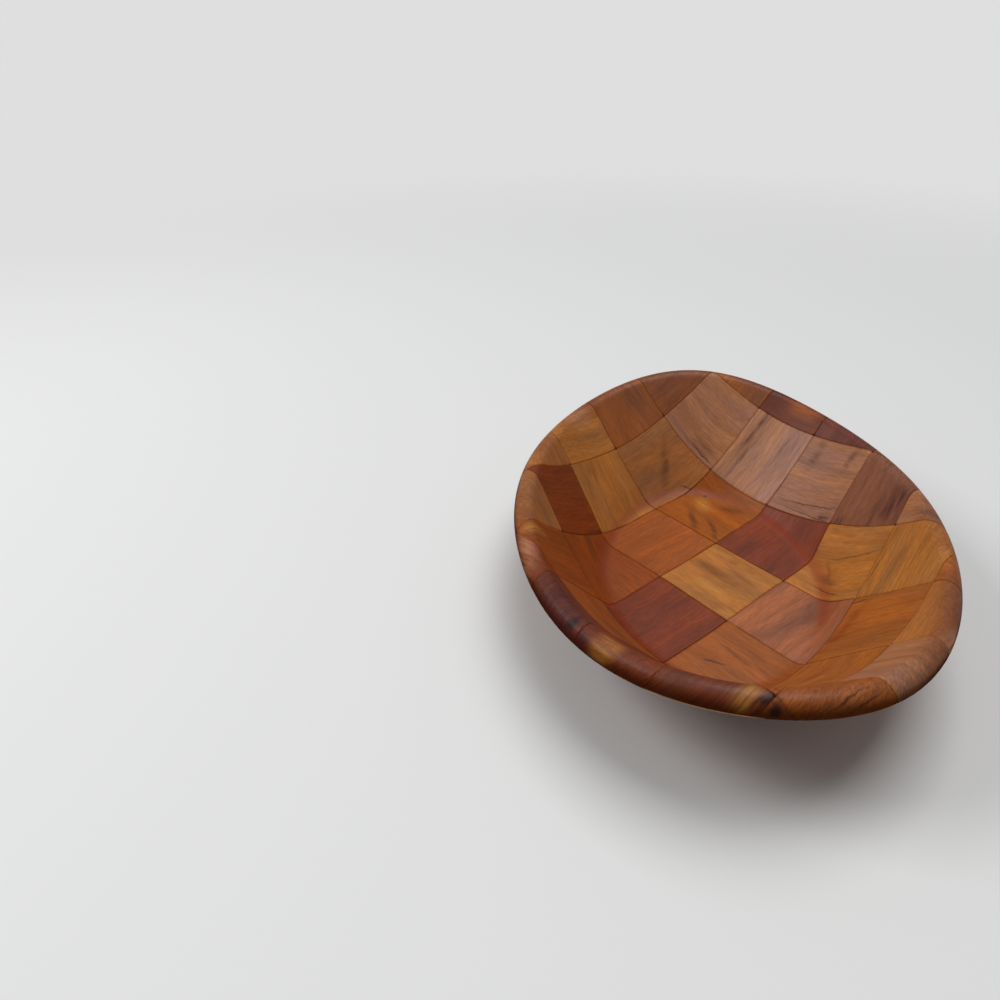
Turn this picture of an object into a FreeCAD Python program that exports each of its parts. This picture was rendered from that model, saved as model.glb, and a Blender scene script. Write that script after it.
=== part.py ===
import FreeCAD, Part
import math
import os

from FreeCAD import Vector

# An oval bowl moulded from one woven mat of wood veneer: seven strips one way and seven the other,
# in a plain over-and-under weave. The flat mat is pressed into a dish with a flat floor, a bend, a
# straight flaring wall and a rim that is rolled outwards. Sizes are in millimetres. The origin is
# the middle of the underside, +X runs along the bowl's length and +Z is up.

# Form of the face that looks into the bowl
floor_half_length = 68.2
floor_half_width = 47.5
floor_roundness = 1.75          # exponent of the floor's outline: 2 is an ellipse, less is more pointed
fold_radius = 9.0               # bend between floor and wall
rim_half_length = 112.4         # to the middle of the rolled rim
rim_half_width = 80.6
rim_height = 37.7               # middle of the roll above the inside floor, halfway round
rim_end_rise = 3.3              # the ends of the rim stand this much higher, the sides this much lower
rim_corner_dip = 1.5            # and between ends and sides it dips by this much
roll_radius = 5.1               # outside of the rolled rim
roll_past_level = math.radians(22.0)    # how far the roll goes on past pointing straight down

# Veneer and strips
veneer = 1.1                    # thickness of one strip
strip_gap = 0.8                 # between neighbouring strips
warp_width = 39.23              # one warp strip with its gap
weft_width = 36.56
weave_angle = 0.771             # the warp runs at this angle to the bowl's length, in radians
strips_each_way = 7
warp_shift = 2.65               # middle of the middle strip, away from the middle of the bowl
weft_shift = 4.22

wall_thickness = 2 * veneer

# The moulded surface is shaped by profiles at even angles, with flat panels between them
profile_step = math.radians(10.0)
profile_count = 36
fold_panels = 2                 # panels round the bend
roll_panels = 5                 # panels round the rim
FOLD, WALL, ROLL = range(3)
far = 300.0                     # beyond the edge of the mat
touching = 1e-6


class Profile:
    """The bowl's section from the middle of the floor outwards, in one direction."""

    def __init__(self, angle):
        self.angle = angle
        along, across = math.cos(angle), math.sin(angle)
        floor_term = abs(along / floor_half_length) ** floor_roundness
        floor_term += abs(across / floor_half_width) ** floor_roundness
        floor_reach = floor_term ** (-1.0 / floor_roundness)
        self.rim_reach = 1.0 / math.hypot(along / rim_half_length, across / rim_half_width)
        phase = math.atan2(across / rim_half_width, along / rim_half_length)
        self.roll_height = rim_height + rim_end_rise * math.cos(2 * phase)
        self.roll_height += rim_corner_dip * math.cos(4 * phase)

        run = self.rim_reach - floor_reach
        span = math.hypot(run, self.roll_height)
        self.slope = math.atan2(self.roll_height, run) + math.asin(roll_radius / span)
        tangent = fold_radius * math.tan(0.5 * self.slope)
        self.fold_start = floor_reach - tangent
        self.roll_turn = self.slope + 0.5 * math.pi + roll_past_level
        self.zone_lengths = (
            fold_radius * self.slope,
            math.sqrt(span ** 2 - roll_radius ** 2) - tangent,
            roll_radius * self.roll_turn,
        )

    def flat_point(self, zone, share):
        """A point of the unpressed mat, as far out as it lies over the inside face."""
        reach = self.fold_start + sum(self.zone_lengths[:zone]) + share * self.zone_lengths[zone]
        return Vector(reach * math.cos(self.angle), reach * math.sin(self.angle), 0)

    def pressed_point(self, zone, share, depth):
        """The same point in the moulded bowl, at a depth below the inside face."""
        if zone == ROLL:
            tilt = share * self.roll_turn - self.slope
            outwards = self.rim_reach + (roll_radius - depth) * math.sin(tilt)
            height = self.roll_height + (roll_radius - depth) * math.cos(tilt)
        else:
            turn = share * self.slope if zone == FOLD else self.slope
            climb = share * self.zone_lengths[WALL] if zone == WALL else 0.0
            outwards = self.fold_start + (fold_radius + depth) * math.sin(turn)
            outwards += climb * math.cos(self.slope)
            height = fold_radius - (fold_radius + depth) * math.cos(turn)
            height += climb * math.sin(self.slope)
        return Vector(
            outwards * math.cos(self.angle),
            outwards * math.sin(self.angle),
            wall_thickness + height,
        )


profiles = [Profile(index * profile_step) for index in range(profile_count)]
stations = [(FOLD, panel / fold_panels) for panel in range(fold_panels + 1)]
stations += [(WALL, 1.0)]
stations += [(ROLL, (panel + 1) / roll_panels) for panel in range(roll_panels)]


class Panel:
    """A flat panel of the surface: its corners in the unpressed mat and in the moulded bowl."""

    def __init__(self, corners, ends_mat=False):
        self.corners = corners
        self.flat = [profile.flat_point(*station) for profile, station in corners]
        self.ends_mat = ends_mat        # its first side is the edge of the mat
        self.pressed = {}

    def press(self, point, depth):
        """Carry a point of the unpressed mat along with its panel."""
        if depth not in self.pressed:
            self.pressed[depth] = [
                profile.pressed_point(*station, depth) for profile, station in self.corners[:3]
            ]
        first, second, third = self.pressed[depth]
        side, other = self.flat[1] - self.flat[0], self.flat[2] - self.flat[0]
        offset = point - self.flat[0]
        area = side.cross(other).z
        along = offset.cross(other).z / area
        across = side.cross(offset).z / area
        return first + (second - first) * along + (third - first) * across


def mat_panels():
    """One panel for the floor, then two between each pair of neighbouring profiles and stations."""
    panels = [Panel([(profile, stations[0]) for profile in profiles])]
    for here, there in zip(profiles, profiles[1:] + profiles[:1]):
        for inner, outer in zip(stations, stations[1:]):
            last = outer is stations[-1]
            panels.append(Panel([(there, outer), (here, outer), (here, inner)], last))
            panels.append(Panel([(there, inner), (there, outer), (here, inner)]))
    return panels


def grid_direction(turned):
    angle = weave_angle + (0.5 * math.pi if turned else 0.0)
    return Vector(math.cos(angle), math.sin(angle), 0)


u_axis, v_axis = grid_direction(False), grid_direction(True)


def split_sides(corners, axis, mark):
    """Add a corner wherever a side of the polygon crosses a line of the weave."""
    out = []
    for here, there in zip(corners, corners[1:] + corners[:1]):
        start, end = here.dot(axis) - mark, there.dot(axis) - mark
        out.append(here)
        if start * end < 0 and min(abs(start), abs(end)) > touching:
            out.append(here + (there - here) * (start / (start - end)))
    return out


def clip(corners, axis, low, high):
    """The part of a polygon between two lines of the weave."""
    for mark, sign in ((low, 1.0), (high, -1.0)):
        corners = split_sides(corners, axis, mark) if corners else corners
        corners = [corner for corner in corners if sign * (corner.dot(axis) - mark) > -touching]
    return corners if len(corners) > 2 else []


class Region:
    """A rectangle of the unpressed mat. u runs with the warp and v with the weft."""

    def __init__(self, u_range, v_range, marks=()):
        self.sides = ((u_axis, u_range), (v_axis, v_range))
        self.marks = marks

    def pieces(self, panels):
        for panel in panels:
            corners = panel.flat
            for axis, (low, high) in self.sides:
                corners = clip(corners, axis, low, high)
            for axis, mark in self.marks:
                corners = split_sides(corners, axis, mark)
            if corners:
                yield panel, corners

    def is_cut(self, panel, start, end):
        """True for a side where the veneer ends, False where it runs on into the next panel."""
        for axis, (low, high) in self.sides:
            for mark in (low, high):
                if max(abs(start.dot(axis) - mark), abs(end.dot(axis) - mark)) < touching:
                    return True
        if not panel.ends_mat:
            return False
        edge = panel.flat[1] - panel.flat[0]
        return all(edge.cross(point - panel.flat[0]).Length < touching * edge.Length for point in (start, end))


def polygon(points):
    return Part.Face(Part.makePolygon(points + points[:1]))


def open_faces(region, panels, depth):
    """The broad face of a piece of veneer."""
    return [
        polygon([panel.press(corner, depth) for corner in corners])
        for panel, corners in region.pieces(panels)
    ]


def cut_faces(region, panels, depths):
    """The cut edges of a piece of veneer, from one depth to the other."""
    faces = []
    for panel, corners in region.pieces(panels):
        for start, end in zip(corners, corners[1:] + corners[:1]):
            if region.is_cut(panel, start, end):
                near, far_off = [[panel.press(point, depth) for point in (start, end)] for depth in depths]
                faces.append(polygon([near[0], near[1], far_off[1]]))
                faces.append(polygon([near[0], far_off[1], far_off[0]]))
    return faces


def closed_solid(faces):
    shell = Part.makeCompound(faces)
    shell.sewShape(1e-5)
    solid = Part.makeSolid(shell)
    if solid.Volume < 0:
        solid.reverse()
    return solid


def strip_ranges(shift, width):
    """Where each strip of the mat starts and ends, across the strips."""
    ranges = []
    for index in range(strips_each_way):
        low = shift + (index - 0.5 * strips_each_way) * width + 0.5 * strip_gap
        ranges.append([low, low + width - strip_gap])
    ranges[0][0] = -far
    ranges[-1][1] = far
    return ranges


def woven_strip(panels, own, crossed, index, is_warp):
    """One strip of the mat, over and under the strips that it crosses.

    In the gap between two crossed strips it is as thick as the mat, where it changes level.
    """
    faces = []
    for number, (start, end) in enumerate(crossed):
        over = (number + index) % 2 == (0 if is_warp else 1)
        outside = 0.0 if over else wall_thickness
        before = crossed[number - 1][1] if number > 0 else start
        after = crossed[number + 1][0] if number < strips_each_way - 1 else end
        if is_warp:
            cell = Region((start, end), own)
            covered = Region((before, after), own, [(u_axis, start), (u_axis, end)])
        else:
            cell = Region(own, (start, end))
            covered = Region(own, (before, after), [(v_axis, start), (v_axis, end)])
        faces += open_faces(covered, panels, outside)
        faces += open_faces(cell, panels, veneer)
        faces += cut_faces(covered, panels, (outside, veneer))
    return closed_solid(faces)


def build():
    panels = mat_panels()
    warp = strip_ranges(warp_shift, warp_width)
    weft = strip_ranges(weft_shift, weft_width)
    solids = {}
    for index in range(strips_each_way):
        solids["warp_strip_%d" % (index + 1)] = woven_strip(panels, warp[index], weft, index, True)
        solids["weft_strip_%d" % (index + 1)] = woven_strip(panels, weft[index], warp, index, False)
    return solids


os.makedirs("parts", exist_ok=True)
for node, solid in build().items():
    solid.exportStep("parts/%s.step" % node)
    print(node, solid.ShapeType, solid.isValid(), len(solid.Faces), round(solid.Volume, 1))
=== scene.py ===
import math

import bpy
import numpy as np
from mathutils import Matrix, Vector


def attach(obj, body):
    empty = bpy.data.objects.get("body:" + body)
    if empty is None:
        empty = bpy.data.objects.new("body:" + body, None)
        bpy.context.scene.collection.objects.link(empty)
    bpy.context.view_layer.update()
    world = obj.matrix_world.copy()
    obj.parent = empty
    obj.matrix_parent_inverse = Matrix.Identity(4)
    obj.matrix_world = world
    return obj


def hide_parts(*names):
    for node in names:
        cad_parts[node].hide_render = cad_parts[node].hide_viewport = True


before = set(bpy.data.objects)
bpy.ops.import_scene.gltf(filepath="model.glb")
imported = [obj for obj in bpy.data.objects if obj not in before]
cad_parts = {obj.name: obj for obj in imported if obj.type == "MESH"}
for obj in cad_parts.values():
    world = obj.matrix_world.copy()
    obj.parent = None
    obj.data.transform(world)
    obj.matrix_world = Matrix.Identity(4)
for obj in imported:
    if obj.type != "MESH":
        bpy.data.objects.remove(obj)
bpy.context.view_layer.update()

# The bowl's form, in millimetres, as the solids have it
MM = 0.001
FLOOR_HALF_LENGTH = 68.2
FLOOR_HALF_WIDTH = 47.5
FLOOR_ROUNDNESS = 1.75
FOLD_RADIUS = 9.0
RIM_HALF_LENGTH = 112.4
RIM_HALF_WIDTH = 80.6
RIM_HEIGHT = 37.7
RIM_END_RISE = 3.3
RIM_CORNER_DIP = 1.5
ROLL_RADIUS = 5.1
ROLL_PAST_LEVEL = math.radians(22.0)
VENEER = 1.1
WALL_THICKNESS = 2 * VENEER
WARP_WIDTH = 39.23
WEFT_WIDTH = 36.56
WARP_SHIFT = 2.65
WEFT_SHIFT = 4.22
WEAVE_ANGLE = 0.771
STRIPS_EACH_WAY = 7

# How the strips are drawn
BEYOND = 150.0           # farther out than the mat reaches
SEAM = 0.12              # between neighbouring strips, pressed nearly shut
DIVE_BEFORE = 0.5        # a strip starts down this far before the edge of the strip that covers it
DIVE_AFTER = 1.5         # and is all the way down this far past it
DIVE_STEPS = (-1.5, -1.0, -0.5, -0.25, -0.06, 0.06, 0.25, 0.5, 1.0, 1.5)   # mesh rows about an edge
LIP_DROP = 0.04          # the very edge of a strip is worn down by this much
LIP_WIDTH = 0.6
INSIDE_SKIN = 0.2        # the face that looks into the bowl lies this far inside the solids
OUTSIDE_SKIN = 0.05
SPACING = 1.1            # between the mesh's rows
STRAY = 0.45             # how far the hand-laid strips wander from straight lines
SEED = 4


def profile_at(angle):
    """Sizes of the bowl's section in each of the given directions, in millimetres."""
    along, across = np.cos(angle), np.sin(angle)
    floor_term = np.abs(along / FLOOR_HALF_LENGTH) ** FLOOR_ROUNDNESS
    floor_term += np.abs(across / FLOOR_HALF_WIDTH) ** FLOOR_ROUNDNESS
    floor_reach = floor_term ** (-1.0 / FLOOR_ROUNDNESS)
    rim_reach = 1.0 / np.hypot(along / RIM_HALF_LENGTH, across / RIM_HALF_WIDTH)
    phase = np.arctan2(across / RIM_HALF_WIDTH, along / RIM_HALF_LENGTH)
    height = RIM_HEIGHT + RIM_END_RISE * np.cos(2 * phase) + RIM_CORNER_DIP * np.cos(4 * phase)
    run = rim_reach - floor_reach
    span = np.hypot(run, height)
    slope = np.arctan2(height, run) + np.arcsin(ROLL_RADIUS / span)
    tangent = FOLD_RADIUS * np.tan(0.5 * slope)
    fold_start = floor_reach - tangent
    wall_start = fold_start + FOLD_RADIUS * slope
    roll_start = wall_start + np.sqrt(span ** 2 - ROLL_RADIUS ** 2) - tangent
    mat_end = roll_start + ROLL_RADIUS * (slope + 0.5 * math.pi + ROLL_PAST_LEVEL)
    return rim_reach, height, slope, fold_start, wall_start, roll_start, mat_end


def press(flat, depth):
    """Carry points of the unpressed mat into the moulded bowl, at a depth below its inside face."""
    angle = np.arctan2(flat[:, 1], flat[:, 0])
    length = np.hypot(flat[:, 0], flat[:, 1])
    rim_reach, rim_height, slope, fold_start, wall_start, roll_start, mat_end = profile_at(angle)
    length = np.minimum(length, mat_end)
    turn = np.clip((length - fold_start) / FOLD_RADIUS, 0.0, slope)
    climb = np.clip(length - wall_start, 0.0, roll_start - wall_start)
    outwards = np.minimum(length, fold_start) + (FOLD_RADIUS + depth) * np.sin(turn) + climb * np.cos(slope)
    height = FOLD_RADIUS - (FOLD_RADIUS + depth) * np.cos(turn) + climb * np.sin(slope)
    tilt = (length - roll_start) / ROLL_RADIUS - slope
    on_roll = length > roll_start
    outwards = np.where(on_roll, rim_reach + (ROLL_RADIUS - depth) * np.sin(tilt), outwards)
    height = np.where(on_roll, rim_height + (ROLL_RADIUS - depth) * np.cos(tilt), height)
    return np.stack([outwards * np.cos(angle), outwards * np.sin(angle), WALL_THICKNESS + height], axis=1)


def zone_of(flat):
    """0 to 1 over the floor, 1 to 2 round the bend, 2 to 3 up the wall and 3 to 4 round the rim."""
    length = np.hypot(flat[:, 0], flat[:, 1])
    bounds = profile_at(np.arctan2(flat[:, 1], flat[:, 0]))[3:]
    zone = length / bounds[0]
    for number, (start, end) in enumerate(zip(bounds, bounds[1:])):
        zone = np.where(length > start, 1 + number + (length - start) / (end - start), zone)
    return np.minimum(zone, 4.0)


def strip_edges(shift, width):
    """Where one strip ends and the next starts, across the strips."""
    edges = [shift + (index - 0.5 * STRIPS_EACH_WAY) * width for index in range(STRIPS_EACH_WAY + 1)]
    return [-BEYOND] + edges[1:-1] + [BEYOND]


WARP_EDGES = strip_edges(WARP_SHIFT, WARP_WIDTH)
WEFT_EDGES = strip_edges(WEFT_SHIFT, WEFT_WIDTH)


def mesh_lines(low, high, marks, steps):
    """Positions from low to high, evenly apart but closer together about each mark."""
    close = sorted(mark + step for mark in marks for step in steps if low <= mark + step <= high)
    lines = sorted(set([low, high] + close))
    filled = []
    for here, there in zip(lines, lines[1:]):
        count = max(1, round((there - here) / SPACING))
        filled += [here + (there - here) * share / count for share in range(count)]
    return np.array(filled + [high])


def smooth_step(value):
    value = np.clip(value, 0.0, 1.0)
    return value * value * (3 - 2 * value)


def dip(distance):
    """How far down a strip is, 0 to 1, this far past the edge of the strip that covers it."""
    return smooth_step((distance + DIVE_BEFORE) / (DIVE_BEFORE + DIVE_AFTER))


def levels_along(along, crossings, index, is_warp):
    """0 where a strip lies on top and 1 where it lies underneath, for its upper and its lower face."""
    upper, lower = np.zeros_like(along), np.zeros_like(along)
    for number, (start, end) in enumerate(zip(crossings, crossings[1:])):
        if (number + index) % 2 == (0 if is_warp else 1):
            continue
        covered = np.minimum(along - start, end - along)
        upper = np.maximum(upper, dip(covered))
        lower = np.maximum(lower, 1 - dip(-covered))
    return upper, lower


def flat_place(along, across, is_warp):
    """Turn a place on a strip into a point of the unpressed mat, where no strip is quite straight."""
    u, v = (along, across) if is_warp else (across, along)
    stray_u = STRAY * (np.sin(u / 17 + 1.3) * np.cos(v / 23 + 0.4) + 0.5 * np.sin(u / 9 + v / 11 + 2))
    stray_v = STRAY * (np.cos(u / 21 + 0.7) * np.sin(v / 15 + 2.1) + 0.5 * np.sin(u / 12 - v / 8 + 1))
    u, v = u + stray_u, v + stray_v
    cosine, sine = math.cos(WEAVE_ANGLE), math.sin(WEAVE_ANGLE)
    return np.stack([u * cosine - v * sine, u * sine + v * cosine], axis=1)


def add_attribute(mesh, name, kind, values):
    """Give the mesh's points a value, the same on the upper and the lower face."""
    attribute = mesh.attributes.new(name, kind, "POINT")
    key = "vector" if kind == "FLOAT_VECTOR" else "value"
    doubled = np.concatenate([values, values])
    attribute.data.foreach_set(key, doubled.astype(np.float32).ravel())


def sheet_faces(quads, count):
    """Close two sheets of the same quads, the second count points later, with a wall round the edge."""
    sides = np.concatenate([quads[:, [a, b]] for a, b in ((0, 1), (1, 2), (2, 3), (3, 0))])
    _, first, times = np.unique(np.sort(sides, axis=1), axis=0, return_index=True, return_counts=True)
    rim = sides[first[times == 1]]
    walls = np.stack([rim[:, 1], rim[:, 0], rim[:, 0] + count, rim[:, 1] + count], axis=1)
    return np.concatenate([quads, quads[:, ::-1] + count, walls])


def strip_grid(low, high, crossings, is_warp):
    """The quads of a strip that lie on the mat, with their points on the mat, along it and across it."""
    rows = mesh_lines(-BEYOND, BEYOND, crossings[1:-1], DIVE_STEPS)
    columns = mesh_lines(low + 0.5 * SEAM, high - 0.5 * SEAM, (low, high), DIVE_STEPS)
    along, across = [grid.ravel() for grid in np.meshgrid(rows, columns, indexing="ij")]
    flat = flat_place(along, across, is_warp)
    on_mat = (zone_of(flat) < 4.0).reshape(len(rows), len(columns))
    corner = np.arange(len(along)).reshape(len(rows), len(columns))
    quads = np.stack([corner[:-1, :-1], corner[1:, :-1], corner[1:, 1:], corner[:-1, 1:]], axis=-1)
    kept = on_mat[:-1, :-1] | on_mat[1:, :-1] | on_mat[1:, 1:] | on_mat[:-1, 1:]
    quads = quads[kept] if is_warp else quads[kept][:, ::-1]

    used = np.unique(quads)
    renumber = np.full(len(along), -1)
    renumber[used] = np.arange(len(used))
    return renumber[quads], flat[used], along[used], across[used]


def strip_depths(upper, lower, side):
    """How deep a strip's two faces lie below the mat's inside face, pressed thin towards its sides."""
    middle = 0.5 * (upper + lower)
    top = INSIDE_SKIN + upper * (VENEER - INSIDE_SKIN)
    bottom = VENEER + lower * (VENEER - OUTSIDE_SKIN)
    crush = (bottom - top) * (1 - dip(side))
    wear = LIP_DROP * (1 - smooth_step(side / LIP_WIDTH))
    top = top + crush * middle + wear * (1 - middle)
    bottom = bottom - crush * (1 - middle) - wear * middle
    return top, bottom


def strip_mesh(name, index, is_warp):
    """One strip of veneer as a closed thin sheet that follows the bowl over and under the others."""
    own_edges, crossings = (WARP_EDGES, WEFT_EDGES) if is_warp else (WEFT_EDGES, WARP_EDGES)
    shift, width = (WEFT_SHIFT, WEFT_WIDTH) if is_warp else (WARP_SHIFT, WARP_WIDTH)
    own_shift, own_width = (WARP_SHIFT, WARP_WIDTH) if is_warp else (WEFT_SHIFT, WEFT_WIDTH)
    own_middle = own_shift + (index - STRIPS_EACH_WAY // 2) * own_width
    low, high = own_edges[index], own_edges[index + 1]
    quads, flat, along, across = strip_grid(low, high, crossings, is_warp)
    side = np.minimum(across - low, high - across)
    top, bottom = strip_depths(*levels_along(along, crossings, index, is_warp), side)

    faces = sheet_faces(quads, len(flat))
    points = np.concatenate([press(flat, top), press(flat, bottom)]) * MM
    mesh = bpy.data.meshes.new(name)
    mesh.from_pydata(points.tolist(), [], faces.tolist())
    angle = np.arctan2(flat[:, 1], flat[:, 0])
    rim_reach = profile_at(angle)[0]
    nearest = np.min([np.abs(along - edge) for edge in crossings[1:-1]], axis=0)
    rim_place = np.stack([rim_reach * np.cos(angle), rim_reach * np.sin(angle), 0 * angle], 1)
    add_attribute(mesh, "grain", "FLOAT_VECTOR", np.stack([along, across - own_middle, 0 * along], 1))
    add_attribute(mesh, "rim", "FLOAT_VECTOR", rim_place)
    add_attribute(mesh, "cell", "FLOAT", (along - shift) / width)
    add_attribute(mesh, "seam", "FLOAT", np.minimum(side, nearest))
    add_attribute(mesh, "zone", "FLOAT", zone_of(flat))
    smooth = np.arange(len(faces)) < 2 * len(quads)
    mesh.polygons.foreach_set("use_smooth", smooth)
    mesh.validate()
    mesh.update()
    return mesh


def srgb(red, green, blue):
    """A colour as it looks on a screen, 0 to 255, turned into the linear values that shaders take."""
    shares = [value / 255.0 for value in (red, green, blue)]
    return tuple(s / 12.92 if s <= 0.04045 else ((s + 0.055) / 1.055) ** 2.4 for s in shares) + (1.0,)


# Stained wood tones
TONES = {
    "golden": srgb(170, 108, 50),
    "honey": srgb(156, 88, 34),
    "light_orange": srgb(148, 82, 36),
    "orange": srgb(148, 76, 4),
    "tan": srgb(156, 98, 52),
    "pink_tan": srgb(158, 106, 76),
    "rosy_tan": srgb(168, 118, 92),
    "amber": srgb(140, 66, 16),
    "russet": srgb(148, 76, 26),
    "red_brown": srgb(122, 54, 30),
    "dark_russet": srgb(124, 54, 14),
    "deep_brown": srgb(104, 46, 14),
    "purple_brown": srgb(104, 50, 36),
    "mauve": srgb(154, 92, 62),
    "dusky_brown": srgb(126, 78, 58),
    "brown": srgb(130, 72, 36),
}

# The tones of each strip where it shows inside the bowl, from one end to the other
WARP_TONES = [
    ("dark_russet", "dark_russet", "red_brown", "brown"),
    ("tan", "russet", "russet"),
    ("tan", "amber", "light_orange", "pink_tan"),
    ("golden", "golden", "honey"),
    ("light_orange", "orange", "golden", "honey"),
    ("pink_tan", "pink_tan", "pink_tan"),
    ("brown", "deep_brown", "brown", "brown"),
]
WEFT_TONES = [
    ("tan", "golden", "brown"),
    ("dark_russet", "dark_russet", "tan", "brown"),
    ("amber", "russet", "rosy_tan"),
    ("purple_brown", "red_brown", "red_brown", "purple_brown"),
    ("deep_brown", "mauve", "dusky_brown"),
    ("purple_brown", "honey", "golden", "tan"),
    ("light_orange", "tan", "tan"),
]
TONE_HELD = 0.42         # in strip widths, to each side of the middle of a crossing
CELLS_SHOWN = 4.0        # the ramp of tones covers this many crossings to each side of the middle


class Shader:
    """A short way to lay out and join shader nodes."""

    def __init__(self, name):
        self.material = bpy.data.materials.new(name)
        self.material.use_nodes = True
        self.tree = self.material.node_tree
        self.tree.nodes.clear()

    def node(self, kind, **settings):
        made = self.tree.nodes.new(kind)
        for key, value in settings.items():
            setattr(made, key, value)
        return made

    def feed(self, socket, value):
        if isinstance(value, bpy.types.NodeSocket):
            self.tree.links.new(value, socket)
        else:
            socket.default_value = value

    def attribute(self, name, output="Fac"):
        return self.node("ShaderNodeAttribute", attribute_name=name).outputs[output]

    def math(self, operation, first, second=0.0):
        made = self.node("ShaderNodeMath", operation=operation)
        self.feed(made.inputs[0], first)
        self.feed(made.inputs[1], second)
        return made.outputs[0]

    def times(self, product, *factors):
        for factor in factors:
            product = self.math("MULTIPLY", product, factor)
        return product

    def noise(self, vector, scale, offset, detail=3.0, roughness=0.55, distortion=0.0):
        """Noise stretched by a scale for each axis, in cycles per millimetre."""
        mapping = self.node("ShaderNodeMapping")
        self.feed(mapping.inputs["Vector"], vector)
        mapping.inputs["Scale"].default_value = scale
        mapping.inputs["Location"].default_value = offset
        made = self.node("ShaderNodeTexNoise")
        self.feed(made.inputs["Vector"], mapping.outputs["Vector"])
        made.inputs["Scale"].default_value = 1.0
        made.inputs["Detail"].default_value = detail
        made.inputs["Roughness"].default_value = roughness
        made.inputs["Distortion"].default_value = distortion
        return made.outputs["Fac"]

    def stirred(self, vector, scale, reach):
        """The vector, moved about by noise, up to about half the reach in millimetres."""
        drift = self.node("ShaderNodeTexNoise")
        self.feed(drift.inputs["Vector"], vector)
        drift.inputs["Scale"].default_value = scale
        drift.inputs["Detail"].default_value = 2.0
        moved = self.node("ShaderNodeVectorMath", operation="MULTIPLY_ADD")
        self.feed(moved.inputs[0], drift.outputs["Color"])
        moved.inputs[1].default_value = (reach, reach, 0)
        self.feed(moved.inputs[2], vector)
        centred = self.node("ShaderNodeVectorMath", operation="SUBTRACT")
        self.feed(centred.inputs[0], moved.outputs["Vector"])
        centred.inputs[1].default_value = (0.5 * reach, 0.5 * reach, 0)
        return centred.outputs["Vector"]

    def ramp(self, value, low, high, to_low=0.0, to_high=1.0):
        made = self.node("ShaderNodeMapRange", clamp=True, interpolation_type="SMOOTHSTEP")
        self.feed(made.inputs["Value"], value)
        made.inputs["From Min"].default_value = low
        made.inputs["From Max"].default_value = high
        made.inputs["To Min"].default_value = to_low
        made.inputs["To Max"].default_value = to_high
        return made.outputs["Result"]

    def mix(self, share, first, second, blend="MIX"):
        made = self.node("ShaderNodeMix", data_type="RGBA", blend_type=blend)
        self.feed(made.inputs["Factor"], share)
        self.feed(made.inputs["A"], first)
        self.feed(made.inputs["B"], second)
        return made.outputs["Result"]

    def tone_ramp(self, position, tones):
        """One tone over each crossing where the strip shows, blended where it lies underneath."""
        ramp = self.node("ShaderNodeValToRGB")
        self.feed(ramp.inputs["Fac"], self.ramp_position(position))
        elements = ramp.color_ramp.elements
        crossings = range(1 - len(tones), len(tones), 2)
        stops = [(c + held, TONES[t]) for c, t in zip(crossings, tones) for held in (-TONE_HELD, TONE_HELD)]
        while len(elements) < len(stops):
            elements.new(1.0)
        for element, (place, colour) in zip(elements, stops):
            element.position = 0.5 + 0.5 * place / CELLS_SHOWN
            element.color = colour
        return ramp.outputs["Color"]

    def ramp_position(self, cell):
        made = self.node("ShaderNodeMapRange", clamp=True)
        self.feed(made.inputs["Value"], cell)
        made.inputs["From Min"].default_value = -CELLS_SHOWN
        made.inputs["From Max"].default_value = CELLS_SHOWN
        return made.outputs["Result"]


# Stains that lie over the tones, and painted shade and painted highlights: their colour and how strong they
# are
STAINS_AND_PAINTED_LIGHT = {
    "smoke": (srgb(78, 42, 26), 0.55),
    "curl": (srgb(84, 40, 10), 0.80),
    "purple": (srgb(62, 26, 28), 0.82),
    "gold": (srgb(190, 132, 58), 0.62),
    "glow": (srgb(184, 98, 22), 0.50),
    # red: marks on single strips, and also painted shade in parts of the bend
    "red": (srgb(126, 44, 12), 0.60),
    "knot": (srgb(34, 20, 16), 0.92),
    "crack": (srgb(62, 28, 14), 0.80),
    "seam": (srgb(88, 38, 16), 0.60),
    "rim": (srgb(104, 46, 18), 0.62),
    # shade: painted shade on the underside of the rim's bead
    "shade": (srgb(46, 16, 7), 0.76),
    "raw": (srgb(196, 152, 100), 0.85),
    # pale: painted highlights along the top of the bead
    "pale": (srgb(194, 134, 100), 0.55),
}
SHARP = ("crack", "knot")

# Relief and lacquer of the wood
SWELL_SHARE = 2.0
FIBRE_SHARE = 0.5
WRINKLE_SHARE = 1.6
BUMP_STRENGTH = 0.5
BUMP_DEPTH = 0.0002
COAT_SHARE = 0.05
COAT_ROUGHNESS = 0.22
ONTO_RIM = (2.95, 3.15)  # where the wall turns into the rim, as zone_of counts
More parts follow.
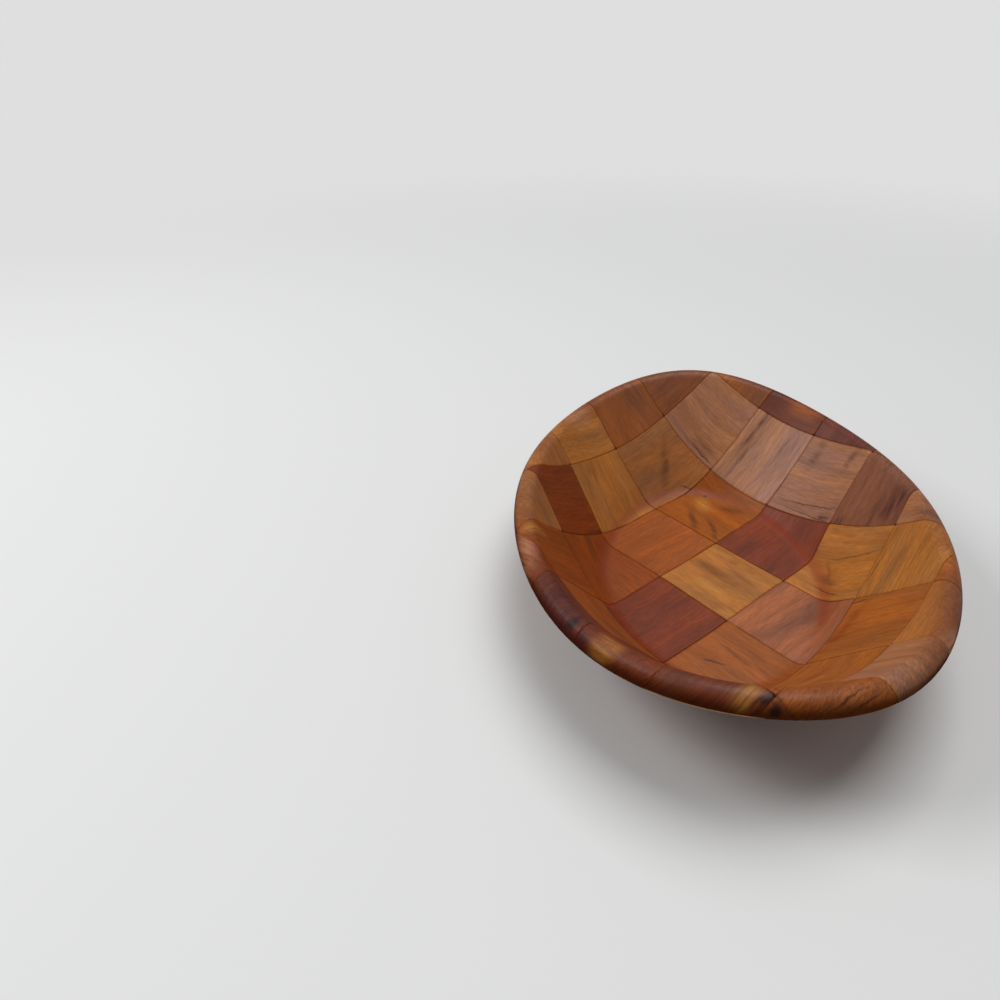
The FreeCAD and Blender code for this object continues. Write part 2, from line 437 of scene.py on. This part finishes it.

# Marks that single strips show; the pale ones are painted highlights on the bead. Each has its stain or
# painted highlight, how far it lies along and across the strip from the middle of the weave and of the strip,
# its half length, half width, and turn in degrees.
MARKS = {
    "warp_strip_5": [
        ("curl", -33, -13, 13, 2.4, -45), ("curl", -22, -12, 12, 2.0, -38), ("curl", -26, 8, 8, 4, 20),
        ("gold", -38, 2, 9, 5, -30), ("knot", -43, 8, 1.1, 0.9, 0), ("red", 34, -3, 6, 1.4, -50),
        # the mark at -108 darkens the far-left top of the bead
        ("smoke", -108, 10, 12, 12, 0),
        ("smoke", 38, -9, 7, 3, -20), ("crack", 40, -15, 10, 0.5, -14), ("crack", 46, 4, 16, 0.4, 8),
    ],
    "warp_strip_4": [
        ("smoke", -3, 2, 11, 3, -6), ("smoke", 9, 8, 13, 2.4, -4), ("gold", 5, -9, 12, 3.5, 0),
        ("gold", -8, 14, 9, 2.5, 0), ("red", 64, 2, 17, 4, 80), ("crack", 62, 17, 9, 0.4, 10),
    ],
    "weft_strip_4": [
        ("smoke", -25, -2, 12, 6, 0), ("smoke", 31, -7, 13, 5, 0), ("smoke", 22, 10, 14, 4, 0),
        ("purple", -113, -2, 15, 18, 0), ("purple", -114, 12, 10, 8, 20), ("knot", -115, 13, 4.0, 2.6, 30),
    ],
    "warp_strip_6": [
        ("crack", 6, -13, 24, 0.45, 4), ("crack", 9, -18, 17, 0.4, -6), ("smoke", -6, 11, 12, 3, 90),
        ("purple", 18, -17, 5, 3, 0), ("smoke", 14, 14, 10, 2.5, 90), ("crack", -59, -17, 9, 0.5, -4),
        ("smoke", -62, -14, 9, 5, 10), ("smoke", 77, -15, 14, 7, 0),
    ],
    "weft_strip_2": [
        ("smoke", 44, 2, 18, 3.2, 130), ("crack", 47, 17, 5, 0.5, 60), ("glow", 100, -6, 12, 14, 0),
        ("crack", -20, 17, 14, 0.5, 0),
    ],
    "weft_strip_3": [
        ("purple", 90, -13, 20, 3.0, 4), ("smoke", 80, -9, 20, 1.6, 3), ("smoke", 84, 6, 16, 1.5, 2),
        ("gold", -88, -12, 10, 5, 0), ("red", -50, 4, 14, 5, 0),
    ],
    "weft_strip_5": [
        ("purple", 62, -14, 5, 3.0, 0), ("purple", 74, 12, 14, 10, 10), ("smoke", 66, 2, 20, 2, 5),
        ("smoke", -58, 4, 14, 4, 0),
    ],
    "weft_strip_6": [
        ("red", -35, -2, 14, 4, 10), ("gold", -102, 11, 8, 4.5, 0), ("crack", -100, 15, 8, 1.0, 10),
        ("knot", -98, 17, 5, 1.8, 10),
        ("smoke", -112, -10, 10, 6, 0), ("crack", 38, -16, 12, 0.4, 5),
    ],
    # the pale mark paints a highlight along the top of the bead
    "weft_strip_1": [("pale", 9, -4, 12, 9, 0)],
    "warp_strip_1": [
        ("gold", 36, 0, 8, 8, 0), ("purple", 24, -4, 7, 12, 0), ("knot", 99, 16, 3, 4, 30),
        # the pale mark paints a highlight along the inner top of the bead
        ("pale", -33, 14, 20, 6, -30),
    ],
    "weft_strip_7": [
        # the pale mark paints a highlight on the top of the bead
        ("crack", -74, -3, 13, 0.6, 3), ("crack", -70, 1, 9, 0.5, 5), ("pale", -12, 4, 12, 6, 0),
    ],
    "warp_strip_7": [("glow", -27, -9, 12, 7, 0), ("purple", -49, -10, 9, 7, 0)],
    "warp_strip_3": [
        ("crack", -50, -12, 5, 0.5, 60), ("smoke", -46, 4, 12, 4, 0), ("smoke", 38, 6, 12, 2, -8),
        ("crack", 34, -4, 6, 0.6, 30),
    ],
    "warp_strip_2": [("smoke", 12, -6, 16, 5, 0), ("red", -8, 4, 14, 4, 0)],
}


def add_stain_or_painted_light(shader, share, colour, overlay):
    """Lay a stained patch, a painted shade or a painted highlight over the colour where share says."""
    overlay_colour, strength = STAINS_AND_PAINTED_LIGHT[overlay]
    return shader.mix(shader.math("MULTIPLY", share, strength), colour, overlay_colour)


def mark_share(shader, vector, along, across, half_length, half_width, turn):
    """1 in the middle of a mark and 0 outside it."""
    mapping = shader.node("ShaderNodeMapping", vector_type="TEXTURE")
    shader.feed(mapping.inputs["Vector"], vector)
    mapping.inputs["Location"].default_value = (along, across, 0)
    mapping.inputs["Rotation"].default_value = (0, 0, math.radians(turn))
    mapping.inputs["Scale"].default_value = (half_length, half_width, 1)
    apart = shader.node("ShaderNodeSeparateXYZ")
    shader.feed(apart.inputs["Vector"], mapping.outputs["Vector"])
    lengthwise = shader.ramp(shader.math("ABSOLUTE", apart.outputs["X"]), 0.2, 1.1, 1.0, 0.0)
    widthwise = shader.ramp(shader.math("ABSOLUTE", apart.outputs["Y"]), 0.0, 1.2, 1.0, 0.0)
    return shader.math("MULTIPLY", lengthwise, widthwise)


def add_marks(shader, colour, grain, marks):
    """The strip's own figure, knots and cracks. Soft marks break up into streaks along the grain."""
    soft = shader.stirred(grain, 0.07, 5.0)
    sharp = shader.stirred(grain, 0.26, 2.2)
    breaks = shader.noise(grain, (0.05, 0.45, 1), (5, 8, 2), detail=4.0, roughness=0.65)
    streaky = shader.ramp(breaks, 0.36, 0.58, 0.30, 1.0)
    for overlay, *place in marks:
        share = mark_share(shader, sharp if overlay in SHARP else soft, *place)
        if overlay not in SHARP:
            share = shader.math("MULTIPLY", share, streaky)
        colour = add_stain_or_painted_light(shader, share, colour, overlay)
    return colour


def wood_colour(shader, tones, offset):
    """Colour of the veneer, and the fine fibres that its relief follows too."""
    grain = shader.stirred(shader.attribute("grain", "Vector"), 0.022, 5.0)
    smoke = shader.noise(grain, (0.020, 0.050, 1), offset, detail=3.0, distortion=0.5)
    warmth = shader.noise(grain, (0.016, 0.060, 1), offset[::-1], detail=2.0, distortion=0.6)
    streaks = shader.noise(grain, (0.009, 0.15, 1), offset, detail=5.0, distortion=0.6)
    rings = shader.noise(grain, (0.009, 0.040, 1), offset, detail=1.5, distortion=0.9)
    fibres = shader.noise(grain, (0.035, 0.8, 1), offset, detail=5.0, roughness=0.70)
    pores = shader.noise(grain, (0.22, 1.8, 1), offset, detail=2.0)

    colour = shader.tone_ramp(shader.attribute("cell"), tones)
    tint = shader.mix(shader.ramp(warmth, 0.35, 0.65), (0.95, 0.97, 1.08, 1), (1.10, 1.03, 0.80, 1))
    colour = shader.mix(1.0, colour, tint, "MULTIPLY")
    figure = shader.math("PINGPONG", shader.math("MULTIPLY", rings, 9.0), 1.0)
    layers = [
        (figure, 0.0, 0.7, 0.92, 1.03),
        (streaks, 0.3, 0.7, 1.09, 0.88),
        (fibres, 0.25, 0.75, 1.11, 0.87),
        (pores, 0.30, 0.70, 1.11, 0.84),
    ]
    for layer, *limits in layers:
        colour = shader.mix(1.0, colour, shader.ramp(layer, *limits), "MULTIPLY")
    return add_stain_or_painted_light(shader, shader.ramp(smoke, 0.54, 0.78, 0.0, 0.8), colour, "smoke"), fibres


def add_seams(shader, colour, grain):
    """Soft dark lines where strips meet, fainter in some places than in others."""
    wander = shader.noise(grain, (0.05, 0.05, 1), (3, 1, 4), detail=2.0)
    line = shader.ramp(shader.attribute("seam"), 0.05, 0.9, 1.0, 0.0)
    uneven = shader.ramp(wander, 0.35, 0.62, 0.25, 1.0)
    faded = shader.ramp(shader.attribute("zone"), 1.5, 3.2, 1.0, 0.22)
    return add_stain_or_painted_light(shader, shader.times(line, uneven, faded), colour, "seam"), line


def add_painted_bend_shade(shader, colour, grain):
    """Painted shade, darker and redder, in parts of the bend."""
    zone = shader.attribute("zone")
    patches = shader.noise(grain, (0.018, 0.018, 1), (1, 6, 3), detail=2.0)
    band = shader.math("MULTIPLY", shader.ramp(zone, 0.98, 1.45), shader.ramp(zone, 1.55, 2.2, 1.0, 0.0))
    share = shader.math("MULTIPLY", band, shader.ramp(patches, 0.34, 0.54))
    # painted shade in the crease of the bend, in patches
    return add_stain_or_painted_light(shader, share, colour, "red")


def add_rim_stain_and_painted_shade(shader, colour):
    """Handled and weathered wood round the rim, painted shade on the underside of the bead, and fine wrinkles
    across the bead.
    """
    rim = shader.attribute("rim", "Vector")
    zone = shader.attribute("zone")
    patches = shader.noise(rim, (0.022, 0.022, 1), (7, 2, 0), detail=3.0)
    slanted = shader.node("ShaderNodeVectorMath", operation="MULTIPLY_ADD")
    shader.feed(slanted.inputs[0], zone)
    slanted.inputs[1].default_value = (3.0, 9.0, 0.0)
    shader.feed(slanted.inputs[2], rim)
    wrinkles = shader.noise(slanted.outputs["Vector"], (0.95, 0.95, 1), (2, 9, 0), detail=4.0, roughness=0.75)
    overlay = shader.math("MULTIPLY", shader.ramp(zone, 2.86, 3.3), shader.ramp(patches, 0.38, 0.62, 0.1, 1.0))
    colour = add_stain_or_painted_light(shader, overlay, colour, "rim")
    # painted shade on the underside of the bead, where it turns down and under
    colour = add_stain_or_painted_light(shader, shader.ramp(zone, 3.5, 3.88), colour, "shade")
    lines = shader.mix(1.0, colour, shader.ramp(wrinkles, 0.3, 0.7, 1.32, 0.66), "MULTIPLY")
    colour = shader.mix(shader.ramp(zone, *ONTO_RIM, 0.0, 0.8), colour, lines)
    cut = shader.math("MULTIPLY", shader.ramp(zone, 3.95, 3.98), shader.ramp(patches, 0.50, 0.57))
    return add_stain_or_painted_light(shader, cut, colour, "raw"), wrinkles


def wood_relief(shader, grain, fibres, wrinkles, on_rim, offset):
    """Slow swelling and fine fibres everywhere, and wrinkles on the rim, as a bump."""
    swell = shader.noise(grain, (0.02, 0.16, 1), offset, detail=2.0)
    relief = shader.math("ADD", shader.times(swell, SWELL_SHARE), shader.times(fibres, FIBRE_SHARE))
    relief = shader.math("ADD", relief, shader.times(wrinkles, on_rim, WRINKLE_SHARE))
    bump = shader.node("ShaderNodeBump")
    bump.inputs["Strength"].default_value = BUMP_STRENGTH
    bump.inputs["Distance"].default_value = BUMP_DEPTH
    shader.feed(bump.inputs["Height"], relief)
    return bump.outputs["Normal"]


def wood_material(name, tones, marks, offset):
    """Stained and lacquered veneer with its grain along the strip."""
    shader = Shader(name)
    colour, fibres = wood_colour(shader, tones, offset)
    # rim stain and wrinkles, with painted shade under the bead
    colour, wrinkles = add_rim_stain_and_painted_shade(shader, colour)
    grain = shader.attribute("grain", "Vector")
    # painted shade in parts of the bend
    colour = add_painted_bend_shade(shader, colour, grain)
    # the strip's marks, with painted highlights on the bead
    colour = add_marks(shader, colour, grain, marks)
    colour, seams = add_seams(shader, colour, grain)
    on_rim = shader.ramp(shader.attribute("zone"), *ONTO_RIM)
    lacquer = shader.ramp(shader.attribute("zone"), 3.4, 3.75, 1.0, 0.0)
    shine = shader.times(shader.ramp(seams, 0.0, 1.0, 0.26, 0.04), lacquer)
    normal = wood_relief(shader, grain, fibres, wrinkles, on_rim, offset)

    surface = shader.node("ShaderNodeBsdfPrincipled")
    shader.feed(surface.inputs["Base Color"], colour)
    shader.feed(surface.inputs["Roughness"], shader.ramp(fibres, 0.2, 0.8, 0.40, 0.56))
    shader.feed(surface.inputs["Specular IOR Level"], shine)
    shader.feed(surface.inputs["Coat Weight"], shader.times(on_rim, lacquer, COAT_SHARE))
    surface.inputs["Coat Roughness"].default_value = COAT_ROUGHNESS
    shader.feed(surface.inputs["Normal"], normal)
    output = shader.node("ShaderNodeOutputMaterial")
    shader.feed(output.inputs["Surface"], surface.outputs["BSDF"])
    return shader.material


def add_strip(index, is_warp):
    direction, tones = ("warp", WARP_TONES) if is_warp else ("weft", WEFT_TONES)
    node = "%s_strip_%d" % (direction, index + 1)
    piece = bpy.data.objects.new("veneer_" + node, strip_mesh("veneer_" + node, index, is_warp))
    bpy.context.scene.collection.objects.link(piece)
    chance = np.random.default_rng([SEED, index, int(is_warp)])
    offset = tuple(float(value) for value in chance.uniform(0, 50, 3))
    piece.data.materials.append(wood_material("wood_" + node, tones[index], MARKS.get(node, []), offset))
    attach(piece, "root")
    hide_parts(node)


# The floor and the lights, in metres and watts
FLOOR_SIZE = 60.0
FLOOR_COLOUR = srgb(222, 223, 222)
FLOOR_ROUGHNESS = 0.7
FADE_START = 0.35        # from here out the camera sees the floor more and more evenly pale
FADE_END = 0.95
WORLD_COLOUR = (0.97, 0.98, 1.0, 1.0)
WORLD_STRENGTH = 0.20
LIGHTS = {               # place, size and power
    "ceiling": ((-0.45, 0.35, 2.2), 1.5, 31.5),
    "window": ((0.0, -1.1, 0.95), 0.6, 9.0),
}


def add_floor():
    """A pale floor. Far from the bowl, past its shadow, the camera sees it evenly pale."""
    half = 0.5 * FLOOR_SIZE
    mesh = bpy.data.meshes.new("floor")
    corners = [(-half, -half, 0), (half, -half, 0), (half, half, 0), (-half, half, 0)]
    mesh.from_pydata(corners, [], [(0, 1, 2, 3)])
    floor = bpy.data.objects.new("floor", mesh)
    bpy.context.scene.collection.objects.link(floor)
    shader = Shader("floor_paper")
    surface = shader.node("ShaderNodeBsdfPrincipled")
    surface.inputs["Base Color"].default_value = FLOOR_COLOUR
    surface.inputs["Roughness"].default_value = FLOOR_ROUGHNESS
    far = shader.node("ShaderNodeEmission")
    far.inputs["Color"].default_value = FLOOR_COLOUR
    distance = shader.node("ShaderNodeVectorMath", operation="LENGTH")
    shader.feed(distance.inputs[0], shader.node("ShaderNodeTexCoord").outputs["Object"])
    seen = shader.node("ShaderNodeLightPath").outputs["Is Camera Ray"]
    blend = shader.node("ShaderNodeMixShader")
    fade = shader.ramp(distance.outputs["Value"], FADE_START, FADE_END)
    shader.feed(blend.inputs[0], shader.math("MULTIPLY", fade, seen))
    shader.feed(blend.inputs[1], surface.outputs["BSDF"])
    shader.feed(blend.inputs[2], far.outputs["Emission"])
    output = shader.node("ShaderNodeOutputMaterial")
    shader.feed(output.inputs["Surface"], blend.outputs["Shader"])
    mesh.materials.append(shader.material)


def add_area_light(name, place, size, power):
    """A square soft light that faces the bowl."""
    data = bpy.data.lights.new(name, "AREA")
    data.shape = "SQUARE"
    data.size = size
    data.energy = power
    lamp = bpy.data.objects.new(name, data)
    bpy.context.scene.collection.objects.link(lamp)
    lamp.location = place
    lamp.rotation_euler = (-Vector(place)).to_track_quat("-Z", "Y").to_euler()


def add_world():
    """Soft even light, and a pale backdrop that only the camera sees."""
    world = bpy.data.worlds.new("world")
    world.use_nodes = True
    tree = world.node_tree
    light = tree.nodes["Background"]
    light.inputs["Color"].default_value = WORLD_COLOUR
    light.inputs["Strength"].default_value = WORLD_STRENGTH
    backdrop = tree.nodes.new("ShaderNodeBackground")
    backdrop.inputs["Color"].default_value = FLOOR_COLOUR
    blend = tree.nodes.new("ShaderNodeMixShader")
    seen = tree.nodes.new("ShaderNodeLightPath").outputs["Is Camera Ray"]
    tree.links.new(seen, blend.inputs[0])
    tree.links.new(light.outputs["Background"], blend.inputs[1])
    tree.links.new(backdrop.outputs["Background"], blend.inputs[2])
    tree.links.new(blend.outputs["Shader"], tree.nodes["World Output"].inputs["Surface"])
    bpy.context.scene.world = world


# The camera's place in millimetres, the directions it looks along, its roll and its lens
CAMERA_PLACE = (280.6, -63.4, 221.7 + WALL_THICKNESS)
CAMERA_RIGHT = (-0.1010, 0.9949, 0.0)
CAMERA_AHEAD = (-0.8313, -0.0844, -0.5493)
CAMERA_ROLL = -0.0209
CAMERA_LENS = 28.63


def add_camera():
    right, ahead = np.array(CAMERA_RIGHT), np.array(CAMERA_AHEAD)
    up = np.cross(right, ahead)
    turned_right = math.cos(CAMERA_ROLL) * right + math.sin(CAMERA_ROLL) * up
    turned_up = math.cos(CAMERA_ROLL) * up - math.sin(CAMERA_ROLL) * right
    data = bpy.data.cameras.new("camera")
    data.lens = CAMERA_LENS
    data.clip_start = 0.01
    camera = bpy.data.objects.new("camera", data)
    bpy.context.scene.collection.objects.link(camera)
    turn = Matrix([turned_right, turned_up, -ahead]).transposed().to_4x4()
    camera.matrix_world = Matrix.Translation([value * MM for value in CAMERA_PLACE]) @ turn
    bpy.context.scene.camera = camera


for strip in range(STRIPS_EACH_WAY):
    add_strip(strip, True)
    add_strip(strip, False)

add_floor()
add_world()
for light_name, light_facts in LIGHTS.items():
    add_area_light(light_name, *light_facts)
add_camera()
bpy.context.scene.view_settings.view_transform = "Standard"
